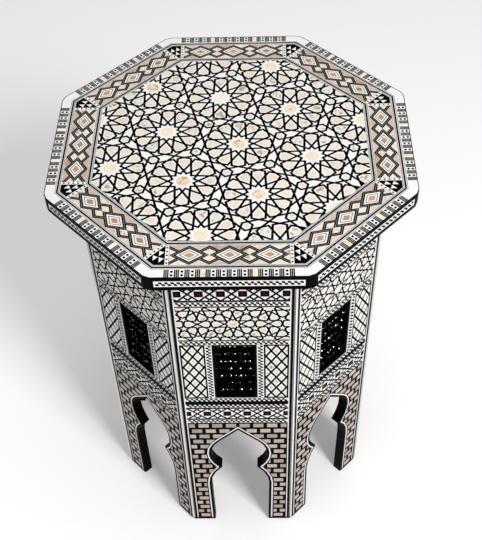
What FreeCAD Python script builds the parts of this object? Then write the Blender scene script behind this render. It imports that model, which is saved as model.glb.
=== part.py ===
"""Octagonal inlaid side table with lattice windows and cusped arches.

Millimetres, +Z up. The origin is on the floor under the middle of the top. Side 1 faces -Y and
the others follow it anticlockwise, seen from above. Every flat inlay is a thin plate glued to
the board behind it.
"""
import FreeCAD
import Part

import math
import os

Vector = FreeCAD.Vector

# Whole table, with its width across the flats of the octagon
sides = 8
height = 508.0
top_width = 360.0
top_overhang = 30.0

# Table top, from its edge inwards
top_thickness = 17.0
top_corner_facet = 7.0
inlay_thickness = 2.0
rim_lip = 0.8
rim_width = 8.8
rim_corner_length = 16.0
stringing_width = 5.8
diamond_band_width = 23.4
dotted_strip_width = 3.9
edge_strip_height = 9.5
edge_strip_depth = 1.2
edge_strip_plain_end = 3.0

# Side panels and the corner strips that cover their joints
panel_thickness = 10.0
corner_strip_width = 6.2
corner_facet = 4.0
foot_gap = 2.0

# Inlaid rows of a side, from the underside of the top downwards
head_band_height = 11.1
check_height = 7.2
black_band_height = 4.5
frieze_height = 23.0
star_band_height = 54.0
window_row_height = 94.0

# Lattice window, as a share of the inlaid width of a side
window_width_share = 0.411
window_strip_width = 7.0
window_fit = 0.1
lattice_recess = 0.5
lattice_frame_width = 2.5
lattice_columns = 4
lattice_rows = 7
spindle_sides = 6
spindle_neck_radius = 2.0
spindle_bead_clearance = 0.3
spindle_bead_half_length = 5.2
spindle_equator_share = 0.36
window_back_thickness = 2.0

# Cusped arch: a lobe with a pointed head over a second lobe with nearly upright legs. Widths are
# shares of the inlaid width of a side. The arcs bow less than a half circle, since their centres
# lie beyond the middle line, by shares of the arch's width, as is the height between the lobes.
arch_width_share = 0.588
arch_knee_share = 0.629
arch_foot_share = 0.610
arch_head_bow_share = 0.18
arch_upper_bow_share = 0.36
arch_lower_bow_share = 0.67
arch_lobe_spacing_share = 2.08
arch_head_angle = 43.5
arch_facet_angle = 15.0
arch_edging_width = 2.8
arch_line_width = 1.6
arch_head_gap = 8.5

# Hidden joinery
rail_width = 24.0
rail_height = 18.0
corner_block_leg = 16.0
corner_block_height = 225.0

# One overrun for all cuts
overrun = 5.0

# Sizes that follow from the values above
half_turn = math.pi / sides
slope = math.tan(half_turn)
top_apothem = top_width / 2
base_apothem = top_apothem - top_overhang
top_underside = height - top_thickness
inlay_floor = height - inlay_thickness
panel_face = base_apothem - inlay_thickness
panel_back = panel_face - panel_thickness
inlay_half = base_apothem * slope - corner_strip_width
window_half = inlay_half * window_width_share
rail_underside = top_underside - rail_height

rim_out = top_apothem - rim_lip
rim_in = rim_out - rim_width
band_out = rim_in - stringing_width
band_in = band_out - diamond_band_width
field_apothem = band_in - stringing_width
band_half = band_in * slope - dotted_strip_width
rim_half = top_apothem * slope - rim_corner_length

row_heights = [
    ("black_bands", head_band_height),
    ("check_strips", check_height),
    ("black_bands", black_band_height),
    ("check_strips", check_height),
    ("upper_friezes", frieze_height),
    ("check_strips", check_height),
    ("star_bands", star_band_height),
    ("check_strips", check_height),
    ("window_row", window_row_height),
    ("check_strips", check_height),
    ("black_bands", black_band_height),
    ("check_strips", check_height),
    ("lower_friezes", frieze_height),
    ("check_strips", check_height),
]
brick_top = top_underside - sum(size for name, size in row_heights)

arch_half = inlay_half * arch_width_share
arch_knee = inlay_half * arch_knee_share
arch_foot = inlay_half * arch_foot_share
arch_head_bow = arch_half * arch_head_bow_share
arch_upper_bow = arch_half * arch_upper_bow_share
arch_lower_bow = arch_half * arch_lower_bow_share
arch_line_in = arch_edging_width
arch_line_out = arch_line_in + arch_line_width


def arch_head_reach(grown):
    """Height of the arch's point over the upper centre, for an outline grown by a margin."""
    angle = math.radians(arch_head_angle)
    return (arch_half + grown + arch_head_bow * (1 - math.cos(angle))) / math.sin(angle)


arch_upper_centre = brick_top - arch_head_gap - arch_head_reach(arch_line_out)
arch_lower_centre = arch_upper_centre - arch_half * arch_lobe_spacing_share


# General shapes

def outline_face(points):
    """Flat face inside a closed outline of 3-D points."""
    return Part.Face(Part.makePolygon(points + points[:1]))


def plate(outline, low, high):
    """Outline in plan, raised from one height to another."""
    base = outline_face([Vector(x, y, low) for x, y in outline])
    return base.extrude(Vector(0, 0, high - low))


def slab(outline, front, depth):
    """Outline on side 1, as x and z, from a distance in front of the axis backwards."""
    base = outline_face([Vector(x, -front, z) for x, z in outline])
    return base.extrude(Vector(0, depth, 0))


def rectangle(left, right, low, high):
    return [(left, low), (right, low), (right, high), (left, high)]


def turned(shape, step):
    """Copy of a shape on side 1, turned to the side that is so many steps further."""
    copy = shape.copy()
    copy.rotate(Vector(0, 0, 0), Vector(0, 0, 1), math.degrees(2 * half_turn) * step)
    return copy


def all_round(shapes):
    """The shapes of side 1, repeated on every side."""
    return [turned(shape, step) for step in range(sides) for shape in shapes]


def across_corner(point):
    """Mirror image of a plan point in the corner between sides 1 and 2."""
    angle = half_turn - math.pi / 2
    along = (math.cos(angle), math.sin(angle))
    reach = 2 * (point[0] * along[0] + point[1] * along[1])
    return (reach * along[0] - point[0], reach * along[1] - point[1])


def corner_outline(near_side):
    """Plan outline that is symmetrical about the corner between sides 1 and 2."""
    return near_side + [across_corner(point) for point in reversed(near_side)]


def side_trapezium(inner, outer):
    """Mitred plan outline of side 1 between two distances from the axis."""
    return [(-inner * slope, -inner), (-outer * slope, -outer),
            (outer * slope, -outer), (inner * slope, -inner)]


def facet_leg(apothem, facet_distance):
    """Length that a corner facet takes from each side of an octagon."""
    return (apothem / math.cos(half_turn) - facet_distance) / math.sin(half_turn)


def clipped_octagon(apothem, facet_distance):
    """Plan outline of an octagon whose corners are cut by small facets."""
    half = apothem * slope - facet_leg(apothem, facet_distance)
    points = []
    for step in range(sides):
        angle = 2 * half_turn * step
        for x in (-half, half):
            points.append((x * math.cos(angle) + apothem * math.sin(angle),
                           x * math.sin(angle) - apothem * math.cos(angle)))
    return points


def octagon(apothem):
    radius = apothem / math.cos(half_turn)
    angles = [half_turn * (2 * step + 1) for step in range(sides)]
    return [(radius * math.cos(angle), radius * math.sin(angle)) for angle in angles]


# Table top

top_facet_distance = (top_apothem / math.cos(half_turn)
                      - top_corner_facet * slope / 2)


def edge_strip():
    """Strip let into the middle of the edge of side 1."""
    leg = facet_leg(top_apothem, top_facet_distance)
    half = top_apothem * slope - leg - edge_strip_plain_end
    middle = top_underside + top_thickness / 2
    outline = rectangle(-half, half, middle - edge_strip_height / 2, middle + edge_strip_height / 2)
    return slab(outline, top_apothem, edge_strip_depth)


def top_board():
    """Octagonal tray with a thin lip, and a groove for each edge strip."""
    board = plate(clipped_octagon(top_apothem, top_facet_distance), top_underside, height)
    recess = plate(clipped_octagon(rim_out, top_facet_distance - rim_lip),
                   inlay_floor, height + overrun)
    return board.cut([recess] + all_round([edge_strip()]))


def rim_corner():
    leg = facet_leg(rim_out, top_facet_distance - rim_lip)
    outline = corner_outline([(rim_half, -rim_out), (rim_out * slope - leg, -rim_out)])
    inner = [(rim_half, -rim_in), (rim_in * slope, -rim_in)]
    outline = outline + [across_corner(inner[0]), inner[1], inner[0]]
    return plate(outline, inlay_floor, height)


def dotted_strips():
    corner = band_in * slope
    return [plate(rectangle(left, right, -band_out, -band_in), inlay_floor, height)
            for left, right in ((-corner, -band_half), (band_half, corner))]


def corner_kite():
    inner = (band_in * slope, -band_in)
    shoulder = (band_in * slope, -band_out)
    outer = (band_out * slope, -band_out)
    return plate([inner, shoulder, outer, across_corner(shoulder)], inlay_floor, height)


def mitred_strip(inner, outer):
    return plate(side_trapezium(inner, outer), inlay_floor, height)


# Side panels

def arch_arc(half, bow, centre, start, end):
    """Points of a facetted arc at one side of the arch, as x and z."""
    radius = half + bow
    facets = math.ceil((end - start) / math.radians(arch_facet_angle))
    angles = [start + (end - start) * step / facets for step in range(facets + 1)]
    return [(radius * math.cos(angle) - bow, centre + radius * math.sin(angle)) for angle in angles]


def arch_cusp(upper, lower):
    """Angles at which the arcs of the two lobes meet, about the upper and the lower centre."""
    across = arch_upper_bow - arch_lower_bow
    down = arch_upper_centre - arch_lower_centre
    spacing = math.hypot(across, down)
    upper_radius = upper + arch_upper_bow
    lower_radius = lower + arch_lower_bow
    lean = math.atan2(-down, across)
    upper_share = (upper_radius**2 - lower_radius**2 + spacing**2) / (2 * spacing * upper_radius)
    lower_share = (lower_radius**2 - upper_radius**2 + spacing**2) / (2 * spacing * lower_radius)
    return lean + math.acos(upper_share), lean + math.pi - math.acos(lower_share)


def arch_outline(grown, low):
    """One of the concentric outlines of the arch, from a height upwards."""
    upper = arch_half + grown
    lower = arch_knee + grown
    upper_cusp, lower_cusp = arch_cusp(upper, lower)
    lower_lobe = arch_arc(lower, arch_lower_bow, arch_lower_centre, 0, lower_cusp)
    upper_lobe = arch_arc(upper, arch_upper_bow, arch_upper_centre, upper_cusp, 0)
    head = arch_arc(upper, arch_head_bow, arch_upper_centre, 0, math.radians(arch_head_angle))
    apex = (0, arch_upper_centre + arch_head_reach(grown))
    foot = (arch_foot + grown + (arch_knee - arch_foot) * low / arch_lower_centre, low)
    right = [foot] + lower_lobe + upper_lobe[1:] + head[1:]
    return right + [apex] + [(-x, z) for x, z in reversed(right)]


def arch_block(grown, low, front, depth):
    return slab(arch_outline(grown, low), front, depth)


def side_panel():
    """Mitred board of one side, with its arch and window cut through."""
    board = plate(side_trapezium(panel_back, panel_face), 0, top_underside)
    front = panel_face + overrun
    depth = panel_thickness + 2 * overrun
    window = slab(window_outline(0), front, depth)
    arch = arch_block(0, -overrun, front, depth)
    return board.cut([window, arch])


def corner_strip():
    """Angle strip over the joint of two panels, with a narrow facet on its edge."""
    leg = corner_facet / (2 * math.cos(half_turn))
    half_side = base_apothem * slope
    outline = corner_outline([(inlay_half, -base_apothem), (half_side - leg, -base_apothem)])
    joint = (panel_face * slope, -panel_face)
    behind = (inlay_half, -panel_face)
    outline = outline + [across_corner(behind), joint, behind]
    return plate(outline, foot_gap, top_underside)


def inlay(left, right, low, high):
    return slab(rectangle(left, right, low, high), base_apothem, inlay_thickness)


def inlaid_rows():
    """Inlay plates of side 1 by name, and the lowest and highest points of the window row."""
    rows = {}
    window_span = None
    high = top_underside
    for name, size in row_heights:
        low = high - size
        if name == "window_row":
            window_span = (low, high)
        else:
            rows.setdefault(name, []).append(inlay(-inlay_half, inlay_half, low, high))
        high = low
    return rows, window_span


side_rows, window_span = inlaid_rows()


def window_outline(inset):
    low, high = window_span
    return rectangle(inset - window_half, window_half - inset, low + inset, high - inset)


def window_strips():
    low, high = window_span
    outer = window_half + window_strip_width
    return [inlay(-outer, -window_half, low, high), inlay(window_half, outer, low, high)]


def diaper_panels():
    low, high = window_span
    inner = window_half + window_strip_width
    return [inlay(-inlay_half, -inner, low, high), inlay(inner, inlay_half, low, high)]


def brick_field():
    field = inlay(-inlay_half, inlay_half, foot_gap, brick_top)
    return field.cut(arch_block(arch_line_out, -overrun, base_apothem, inlay_thickness))


def arch_ring(inner, outer):
    """Thin strip that follows the arch between two of its outlines."""
    whole = arch_block(outer, foot_gap, base_apothem, inlay_thickness)
    return whole.cut(arch_block(inner, -overrun, base_apothem, inlay_thickness))


# Lattice windows

lattice_front = base_apothem - lattice_recess
lattice_back = panel_back + window_back_thickness
lattice_middle = (lattice_front + lattice_back) / 2
frame_inner = window_fit + lattice_frame_width
spindle_bead_radius = (lattice_front - lattice_back) / 2 - spindle_bead_clearance
spindle_flat_share = math.cos(math.pi / spindle_sides)
cross_link_width = 2 * spindle_neck_radius * math.sin(math.pi / spindle_sides)


def window_frame():
    depth = lattice_front - lattice_back
    outer = slab(window_outline(window_fit), lattice_front, depth)
    return outer.cut(slab(window_outline(frame_inner), lattice_front, depth))


def spindle_section(x, z, radius):
    """Corners of a section whose flats face the neighbouring uprights."""
    angles = [math.pi * (2 * step + 1) / spindle_sides for step in range(spindle_sides)]
    return [Vector(x + radius * math.cos(angle), radius * math.sin(angle) - lattice_middle, z)
            for angle in angles]


def spindle(x, low, high, bead_heights):
    """Turned upright with a bead at each height, cut with flat facets."""
    equator = spindle_bead_half_length * spindle_equator_share
    stations = [(low, spindle_neck_radius)]
    for z in bead_heights:
        stations.append((z - spindle_bead_half_length, spindle_neck_radius))
        stations.append((z - equator, spindle_bead_radius))
        stations.append((z + equator, spindle_bead_radius))
        stations.append((z + spindle_bead_half_length, spindle_neck_radius))
    stations.append((high, spindle_neck_radius))
    sections = [spindle_section(x, z, radius) for z, radius in stations]
    faces = [outline_face(sections[0]), outline_face(sections[-1])]
    for lower, upper in zip(sections, sections[1:]):
        for corner in range(spindle_sides):
            faces.append(outline_face([lower[corner - 1], lower[corner],
                                       upper[corner], upper[corner - 1]]))
    return Part.makeSolid(Part.makeShell(faces))


def has_bead(column, row):
    return (column + row) % 2 == 0


def cross_link(column, row, column_places, row_places):
    """Short peg between the flats of two neighbouring uprights."""
    reaches = [spindle_bead_radius if has_bead(place, row) else spindle_neck_radius
               for place in (column, column + 1)]
    left = column_places[column] + reaches[0] * spindle_flat_share
    right = column_places[column + 1] - reaches[1] * spindle_flat_share
    half = cross_link_width / 2
    outline = rectangle(left, right, row_places[row] - half, row_places[row] + half)
    return slab(outline, lattice_middle + half, cross_link_width)


def lattice():
    """Turned uprights with a bead at every second crossing, pegged to each other."""
    corners = window_outline(frame_inner)
    left, low = corners[0]
    right, high = corners[2]
    column_pitch = (right - left) / lattice_columns
    row_pitch = (high - low) / lattice_rows
    columns = [left + column_pitch * (step + 1 / 2) for step in range(lattice_columns)]
    rows = [low + row_pitch * (step + 1 / 2) for step in range(lattice_rows)]
    uprights = [spindle(x, low, high, [z for row, z in enumerate(rows) if has_bead(column, row)])
                for column, x in enumerate(columns)]
    links = [cross_link(column, row, columns, rows)
             for column in range(lattice_columns - 1) for row in range(lattice_rows)]
    return uprights + links


def window_back():
    """Thin board that closes the opening behind the window frame."""
    return slab(window_outline(window_fit), lattice_back, window_back_thickness)


# Hidden joinery

def top_rail():
    """Cleat that is glued into the angle of a panel and the top."""
    return plate(side_trapezium(panel_back - rail_width, panel_back), rail_underside, top_underside)


def corner_block():
    joint = (panel_back * slope, -panel_back)
    heel = (panel_back * slope - corner_block_leg, -panel_back)
    return plate([heel, joint, across_corner(heel)],
                 rail_underside - corner_block_height, rail_underside)


# Writing the pieces

def write(name, shapes):
    shape = shapes[0] if len(shapes) == 1 else Part.makeCompound(shapes)
    shape.exportStep(os.path.join("parts", name + ".step"))
    print(name, len(shapes), round(shape.Volume))


def write_one_per_side(name, shapes):
    for step in range(sides):
        write("%s_%d" % (name, step + 1), [turned(shape, step) for shape in shapes])


os.makedirs("parts", exist_ok=True)

write("top_board", [top_board()])
write("top_edge_strips", all_round([edge_strip()]))
write("top_rim_strips",
      all_round([plate(rectangle(-rim_half, rim_half, -rim_out, -rim_in), inlay_floor, height)]))
write("top_rim_corners", all_round([rim_corner()]))
write("top_outer_stringing", all_round([mitred_strip(band_out, rim_in)]))
write("top_diamond_bands",
      all_round([plate(rectangle(-band_half, band_half, -band_out, -band_in), inlay_floor, height)]))
write("top_dotted_strips", all_round(dotted_strips()))
write("top_corner_kites", all_round([corner_kite()]))
write("top_inner_stringing", all_round([mitred_strip(field_apothem, band_in)]))
write("top_star_field", [plate(octagon(field_apothem), inlay_floor, height)])

write_one_per_side("side_panel", [side_panel()])
write_one_per_side("corner_strip", [corner_strip()])
for row_name, plates in side_rows.items():
    write(row_name, all_round(plates))
write("window_strips", all_round(window_strips()))
write("diaper_panels", all_round(diaper_panels()))
write("brick_fields", all_round([brick_field()]))
write("arch_stringing", all_round([arch_ring(arch_line_in, arch_line_out)]))
write("arch_edging", all_round([arch_ring(0, arch_line_in)]))

write("window_frames", all_round([window_frame()]))
write_one_per_side("window_lattice", lattice())
write("window_backs", all_round([window_back()]))

write("top_rails", all_round([top_rail()]))
write("corner_blocks", all_round([corner_block()]))
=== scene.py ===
import cmath
import math
import random

import bpy
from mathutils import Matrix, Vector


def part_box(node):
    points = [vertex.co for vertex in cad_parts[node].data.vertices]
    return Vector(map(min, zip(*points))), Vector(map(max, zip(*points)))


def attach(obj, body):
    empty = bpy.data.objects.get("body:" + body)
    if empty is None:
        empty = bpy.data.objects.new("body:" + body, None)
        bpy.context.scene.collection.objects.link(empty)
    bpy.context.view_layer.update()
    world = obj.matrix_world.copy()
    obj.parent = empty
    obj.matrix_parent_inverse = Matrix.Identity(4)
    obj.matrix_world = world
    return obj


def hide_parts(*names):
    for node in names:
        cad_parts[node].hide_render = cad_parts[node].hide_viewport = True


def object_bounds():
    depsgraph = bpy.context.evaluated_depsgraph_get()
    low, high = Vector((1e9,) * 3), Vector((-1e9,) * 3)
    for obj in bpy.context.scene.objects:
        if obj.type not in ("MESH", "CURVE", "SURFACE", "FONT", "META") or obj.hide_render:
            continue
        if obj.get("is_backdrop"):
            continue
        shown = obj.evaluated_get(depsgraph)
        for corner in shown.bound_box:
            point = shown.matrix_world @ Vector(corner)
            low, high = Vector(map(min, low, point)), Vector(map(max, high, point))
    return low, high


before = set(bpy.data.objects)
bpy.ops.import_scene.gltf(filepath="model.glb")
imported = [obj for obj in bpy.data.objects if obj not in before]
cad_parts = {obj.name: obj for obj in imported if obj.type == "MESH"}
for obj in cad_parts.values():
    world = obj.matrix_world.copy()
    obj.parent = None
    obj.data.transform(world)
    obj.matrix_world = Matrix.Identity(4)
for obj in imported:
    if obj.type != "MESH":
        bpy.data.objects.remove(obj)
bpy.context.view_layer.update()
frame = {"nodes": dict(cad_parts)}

bl_info = {
    "name": "Inlaid side table",
    "version": (1, 0, 0),
    "blender": (4, 5, 0),
    "location": "3D View > Sidebar > Table",
    "description": "Mosaics, turned lattices and finishes of an octagonal side table, built on its frame",
    "category": "Object",
}

# Sizes that the frame gives, in metres

NODES = frame["nodes"]
SIDES = 8
STEP = 2 * math.pi / SIDES
SLOPE = math.tan(STEP / 2)
SIDE_ANGLE = 360 / SIDES
CORNER_ANGLE = SIDE_ANGLE / 2 - 90
SAME_PLANE = 0.0001


def flat_reach(node):
    """Distance from the table's axis to the outermost flat of a node on the front side."""
    return -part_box(node)[0].y


def front_corners(node):
    """Corners of a node on the outermost flat of the front side, as x, y and z."""
    face = flat_reach(node)
    return [corner.co for corner in NODES[node].data.vertices if abs(corner.co.y + face) < SAME_PLANE]


def front_rows(node):
    """Lowest and highest points of each plate that a node has on the front side."""
    heights = sorted({round(corner.z, 5) for corner in front_corners(node)})
    return list(zip(heights[::2], heights[1::2]))


def front_reaches(node):
    """Least and greatest distance of a node's front corners from the middle line."""
    reaches = [abs(corner.x) for corner in front_corners(node)]
    return min(reaches), max(reaches)


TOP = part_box("top_board")[1].z
EDGE_REACH = flat_reach("top_board")
RIM_OUT = flat_reach("top_rim_strips")
RIM_IN = flat_reach("top_outer_stringing")
BAND_OUT = flat_reach("top_diamond_bands")
BAND_IN = flat_reach("top_inner_stringing")
FIELD_REACH = flat_reach("top_star_field")
RIM_HALF = front_reaches("top_rim_strips")[1]
BAND_HALF, CORNER_HALF = front_reaches("top_dotted_strips")
EDGE_HALF = front_reaches("top_edge_strips")[1]
EDGE_LOW, EDGE_HIGH = front_rows("top_edge_strips")[0]

FACE = flat_reach("star_bands")
INLAY_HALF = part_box("corner_strip_1")[0].x
STRIP_INNER, STRIP_OUTER = front_reaches("window_strips")
WINDOW_LOW, WINDOW_HIGH = front_rows("diaper_panels")[0]
STAR_LOW, STAR_HIGH = front_rows("star_bands")[0]
BRICK_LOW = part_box("brick_fields")[0].z
BRICK_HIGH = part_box("brick_fields")[1].z
LATTICE_LOW, LATTICE_HIGH = (corner.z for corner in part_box("window_lattice_1"))
LATTICE_MIDDLE = -sum(corner.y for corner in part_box("window_lattice_1")) / 2


# Settings that a user would change

def length(name, description, default):
    return bpy.props.FloatProperty(name=name, description=description, default=default,
                                   unit="LENGTH", precision=4)


def share(name, description, default):
    return bpy.props.FloatProperty(name=name, description=description, default=default, subtype="FACTOR")


def count(name, description, default):
    return bpy.props.IntProperty(name=name, description=description, default=default, min=1)


def colour(name, description, default):
    return bpy.props.FloatVectorProperty(name=name, description=description, default=default,
                                         subtype="COLOR", size=3, min=0, max=1)


class TableColours(bpy.types.PropertyGroup):
    """Colours of the inlay, the lacquer, the hidden wood and the floor"""

    bone: colour("Bone", "White pieces, borders and strips", (0.88, 0.87, 0.84))
    pearl: colour("Pearl", "Middle colour of the mother-of-pearl", (0.79, 0.71, 0.59))
    pearl_pink: colour("Pink pearl", "Pink shade of the mother-of-pearl", (0.80, 0.64, 0.54))
    pearl_green: colour("Green pearl", "Green shade of the mother-of-pearl", (0.69, 0.75, 0.65))
    fleck: colour("Fleck", "Brown streaks in the mother-of-pearl", (0.34, 0.20, 0.10))
    amber: colour("Amber shell", "Diamond cores", (0.46, 0.24, 0.115))
    cream: colour("Cream shell", "Star discs and blocks of the rim", (0.88, 0.77, 0.58))
    rose: colour("Rose shell", "Ground of the diamond bands", (0.64, 0.50, 0.41))
    brick: colour("Brick shell", "Bricks round the arches", (0.41, 0.335, 0.285))
    red: colour("Red", "Squares in the friezes", (0.055, 0.0008, 0.0008))
    silver: colour("Silver", "Light stringing of the top and of the corner facets", (0.66, 0.66, 0.65))
    pewter: colour("Pewter", "Grey lines of the rim, strips and corners", (0.25, 0.25, 0.25))
    lacquer: colour("Lacquer", "Black boards, bands and lines", (0.0015, 0.0015, 0.0015))
    lattice: colour("Lattice", "Turned window lattices", (0.0015, 0.0010, 0.0010))
    wood: colour("Wood", "Unfinished wood under the top", (0.40, 0.27, 0.16))
    floor: colour("Floor", "Pale floor under the table", (0.85, 0.85, 0.85))


class MosaicSizes(bpy.types.PropertyGroup):
    """Star mosaics of the top and of the sides"""

    line: length("Line", "Black line between two tiles of the top", 0.0024)
    border: length("Border", "White border of a pearl tile", 0.0010)
    field_spacing: length("Field spacing", "Distance between two rosettes of the top", 0.0756)
    field_shift_x: length("Field shift X", "How far the top's pattern lies to the right", 0.0070)
    field_shift_y: length("Field shift Y", "How far the top's pattern lies to the back", -0.0020)
    field_waist: share("Petal waist", "Where petals part, as a share of a rosette's radius", 0.698)
    field_notch: share("Star notch", "Notches of the central star, as a share of the radius", 0.286)
    disc: length("Star disc", "Radius of the disc in a star of the top", 0.0066)
    band_line: length("Band line", "Black line between two tiles of the sides", 0.0021)
    band_margin: length("Band margin", "Black margin over and under the star band", 0.0014)
    band_disc: length("Band disc", "Radius of the disc in a star of the sides", 0.0042)
    diaper_width: length("Diaper width", "Width of a diamond beside the window", 0.0108)
    diaper_height: length("Diaper height", "Height of a diamond beside the window", 0.0185)
    diaper_line: length("Diaper line", "Black line between two diamonds beside the window", 0.0024)
    diaper_border: length("Diaper border", "White border of a diamond beside the window", 0.0015)
    diaper_margin: length("Diaper margin", "Black line round a diamond panel", 0.0018)


class BorderSizes(bpy.types.PropertyGroup):
    """Rim, stringing and diamond bands of the top"""

    string_line: length("Stringing line", "Black line in the middle of the stringing", 0.0018)
    string_hair: length("Stringing hairline", "Grey hairline in the light parts of the stringing", 0.0007)
    rim_stripes: length("Striped block", "Length of a striped block of the rim", 0.0049)
    rim_bars: count("Bars", "Black bars of a striped block", 3)
    rim_bar: length("Bar", "Width of a black bar", 0.0012)
    rim_dot: length("Rim dot", "Radius of a dot of the rim", 0.0013)
    rim_dot_spacing: length("Rim dot spacing", "Distance between the two dots of a block", 0.0042)
    diamonds: count("Diamonds", "Large diamonds along one side", 3)
    diamond_height: length("Diamond height", "Half the height of a large diamond", 0.0118)
    diamond_small: length("Small diamond", "Half the height of a small diamond's shell", 0.0039)
    diamond_line: length("Diamond line", "Grey line along the middle of an outline", 0.0004)
    diamond_black: length("Diamond edging", "Black on either side of the grey line", 0.00145)
    diamond_white: length("Diamond white", "White rings of a large diamond", 0.0015)
    diamond_hair: length("Diamond hairline", "Dark hairline between the white rings", 0.0007)
    dotted_line: length("Dotted line", "Black line along both sides of a dotted strip", 0.0003)
    kite_line: length("Kite line", "Black between two triangles of a kite", 0.0008)
    dots: count("Dots", "Dots of a dotted strip", 5)
    dot: length("Dot", "Radius of a dot of a dotted strip", 0.0010)
    kite_rows: count("Kite rows", "Rows of triangles in a corner kite", 3)


class SideSizes(bpy.types.PropertyGroup):
    """Strips, friezes, bricks and corner lines of the sides"""

    dash: length("Dash", "Length of a black dash", 0.0029)
    dash_height: length("Dash height", "Height of a black dash", 0.0028)
    dash_pitch: length("Dash pitch", "Distance from dash to dash", 0.0052)
    edge_dash: length("Edge dash", "Length of a black dash in the edge of the top", 0.0030)
    edge_pitch: length("Edge pitch", "Distance from dash to dash in the edge of the top", 0.0055)
    edge_line: length("Edge line", "Black line along both sides of the edge's white strip", 0.0009)
    window_dash: length("Window dash", "Length of a black dash beside the window", 0.0027)
    window_pitch: length("Window pitch", "Distance from dash to dash beside the window", 0.0051)
    dash_rows: length("Dash rows", "Distance between the two rows of dashes", 0.0023)
    strip_line: length("Strip line", "Black line along both edges of a checked strip", 0.0006)
    band_edge: length("Band edge", "How far a black band runs over the strips beside it", 0.0010)
    foot: length("Foot", "Height of the black edge under the inlay of a foot", 0.0038)
    dash_slant: length("Dash slant", "How far the lower edge of a dash leans to the right", 0.0004)
    frieze_upper: length("Upper pitch", "Pitch of the upper frieze", 0.0211)
    frieze_lower: length("Lower pitch", "Pitch of the lower frieze", 0.0220)
    frieze_line: length("Frieze line", "Black line of the friezes", 0.0023)
    frieze_small: length("Frieze small", "Half the height of a small diamond", 0.0042)
    frieze_square: length("Frieze square", "Side of a black square", 0.0086)
    frieze_core: length("Frieze core", "Side of a red core", 0.0040)
    brick: length("Brick", "Pitch of the bricks", 0.0154)
    course: length("Course", "Height of a course of bricks", 0.0110)
    mortar: length("Mortar", "Black joint between bricks", 0.0040)
    brick_margin: length("Brick margin", "Black line between the bricks and what they meet", 0.0012)
    corner_white: length("Corner white", "White line of a corner strip", 0.0010)
    corner_grey: length("Corner grey", "Grey line of a corner strip", 0.0004)
    # The grey lines at a facet's edges are painted shade, standing in for the shade at the edges of a rounded
    # corner
    facet_grey: length("Facet grey", "Each of the grey lines along the edges of a corner facet", 0.0014)


class LatticeSizes(bpy.types.PropertyGroup):
    """Turned lattices of the windows"""

    columns: count("Columns", "Uprights of a lattice", 4)
    rows: count("Rows", "Crossings along an upright", 7)
    ball: length("Ball", "Radius of a large ball", 0.0046)
    bead: length("Bead", "Radius of a small bead", 0.0030)
    neck: length("Neck", "Radius of a turned neck", 0.0013)
    frame: length("Frame", "Width of the frame beside the outer uprights", 0.0026)
    turns: count("Turns", "Facets round a turned piece", 14)


class StageSizes(bpy.types.PropertyGroup):
    """Floor, lights and camera"""

    camera: bpy.props.FloatVectorProperty(name="Camera", description="Place of the camera",
                                          default=(0.0297, -0.7494, 1.1583), subtype="TRANSLATION")
    turn: bpy.props.FloatVectorProperty(name="Turn", description="Turn of the camera", subtype="EULER",
                                        default=tuple(math.radians(angle) for angle in (41.62, 1.36, 0.37)))
    lens: bpy.props.FloatProperty(name="Lens", description="Focal length on a 36 mm sensor", default=65.3,
                                  unit="CAMERA")
    floor: length("Floor", "Width of the floor", 8.0)
    lamp: bpy.props.FloatVectorProperty(name="Lamp", description="Place of the lamp", subtype="TRANSLATION",
                                        default=(1.2, -1.55, 2.1))
    lamp_size: length("Lamp size", "Width of the lamp", 0.7)
    key: bpy.props.FloatProperty(name="Key", description="Power of the lamp", default=58.0, unit="POWER")
    overhead: bpy.props.FloatProperty(name="Overhead", description="Power of the wide lamp over the table",
                                      default=15.0, unit="POWER")
    overhead_height: length("Overhead height", "Height of the wide lamp over the floor", 2.75)
    overhead_size: length("Overhead size", "Width of the wide lamp", 1.2)
    fill: share("Fill", "Strength of the light from all round", 0.28)
    glow: share("Glow", "How much lighter the floor looks to the camera", 0.24)


# Finishes

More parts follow.
